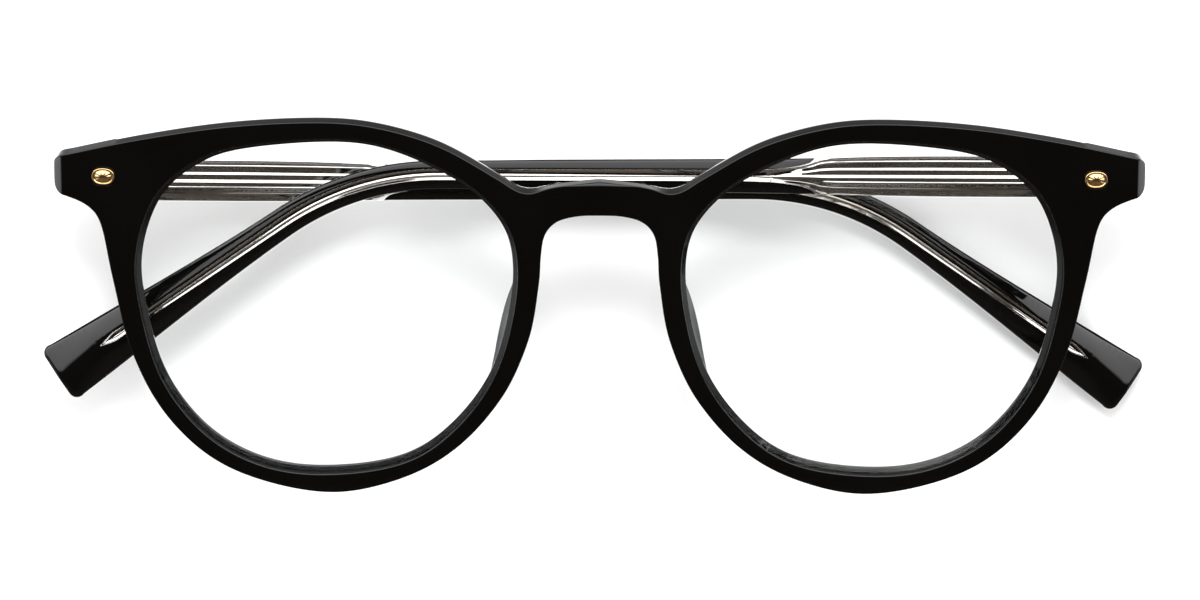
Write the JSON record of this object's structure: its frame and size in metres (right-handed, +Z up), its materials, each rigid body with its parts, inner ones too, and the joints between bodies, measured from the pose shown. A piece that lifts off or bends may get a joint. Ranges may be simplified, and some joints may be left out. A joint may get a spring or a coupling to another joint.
{
  "type": "round full-rim eyeglasses",
  "caption": "Round full-rim eyeglasses with clear lenses, bonded nose pads, screwed knuckle hinges and folding temples with a ribbed metal core.",
  "frame": {"origin": "middle of the front on the line through both lens centres, between the nose pads", "axes": "as worn: +Z up, -Y the way the wearer looks, +X the wearer's left; hinge axes run along Z"},
  "size_m": [0.1422, 0.025, 0.0476],
  "materials": {
    "black_acetate": "polished",
    "pad_acetate": "polished",
    "clear_acetate": "polished",
    "clear_lens": "coated",
    "gold_plate": "polished",
    "hinge_metal": "polished",
    "screw_metal": "turned",
    "washer_nylon": "matt",
    "core_metal": "ribbed and polished"
  },
  "bodies": {
    "front": {"front_frame": "black_acetate", "lens_left": "clear_lens", "lens_right": "clear_lens", "nose_pad_left": "pad_acetate", "nose_pad_right": "pad_acetate", "front_stud_left": "gold_plate", "front_stud_right": "gold_plate", "front_hinge_left": "hinge_metal", "front_hinge_right": "hinge_metal", "hinge_screw_left": "screw_metal", "hinge_screw_right": "screw_metal", "hinge_washers_left": "washer_nylon", "hinge_washers_right": "washer_nylon"},
    "left_temple": {"temple_hinge_left": "hinge_metal", "temple_core_left": "core_metal", "temple_clear_left": "clear_acetate", "temple_black_left": "black_acetate"},
    "right_temple": {"temple_hinge_right": "hinge_metal", "temple_core_right": "core_metal", "temple_clear_right": "clear_acetate", "temple_black_right": "black_acetate"}
  },
  "joints": [
    {"name": "left_temple_hinge", "type": "hinge", "parent": "front", "child": "left_temple", "pos_m": [0.0638, 0.0093, 0.017], "axis": [0, 0, -1], "range_deg": [0, 94.5]},
    {"name": "right_temple_hinge", "type": "hinge", "parent": "front", "child": "right_temple", "pos_m": [-0.0638, 0.0093, 0.017], "axis": [0, 0, 1], "range_deg": [0, 90.8]}
  ]
}
